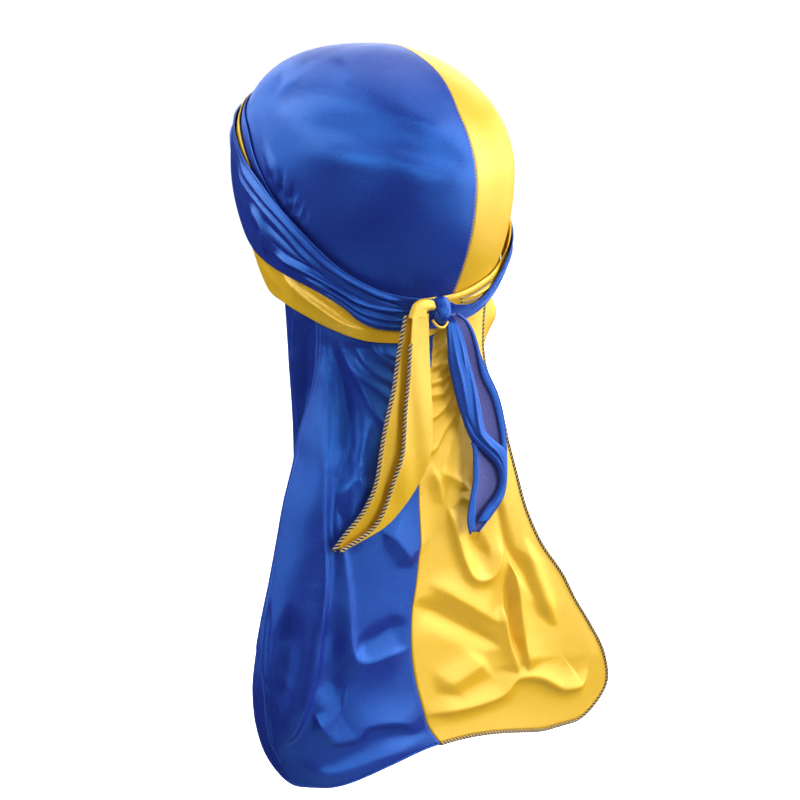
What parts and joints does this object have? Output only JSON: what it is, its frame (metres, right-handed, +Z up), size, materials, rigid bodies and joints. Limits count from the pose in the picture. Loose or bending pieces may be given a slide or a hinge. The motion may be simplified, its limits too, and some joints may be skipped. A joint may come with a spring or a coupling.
{
  "type": "durag",
  "caption": "Silky head wrap as worn, with a fitted cap, straps crossed at the brow and knotted at the nape, hanging tie ends and a long flared tail.",
  "frame": {"origin": "middle of the hollow for the head, at the head's widest level", "axes": "+Z up, the wearer faces -Y, the wearer's left is +X"},
  "size_m": [0.2545, 0.1965, 0.4477],
  "materials": {
    "satin_blue": "glossy royal blue polyester satin",
    "satin_yellow": "glossy golden yellow polyester satin",
    "twist_edging": "overlocked edge of blue, yellow and white thread, twisted like a rope"
  },
  "bodies": {
    "root": {"crown_left": "satin_blue", "crown_right": "satin_yellow", "front_band_left": "satin_blue", "front_band_right": "satin_yellow", "strap_yellow": "satin_yellow", "strap_blue": "satin_blue", "tail_left": "satin_blue", "tail_right": "satin_yellow", "tail_hem_left": "satin_blue", "tail_hem_right": "twist_edging", "knot_blue": "satin_blue", "knot_loop_yellow": "satin_yellow", "knot_arc_yellow": "satin_yellow", "tie_end_yellow": "satin_yellow", "tie_end_blue": "satin_blue"}
  },
  "joints": []
}
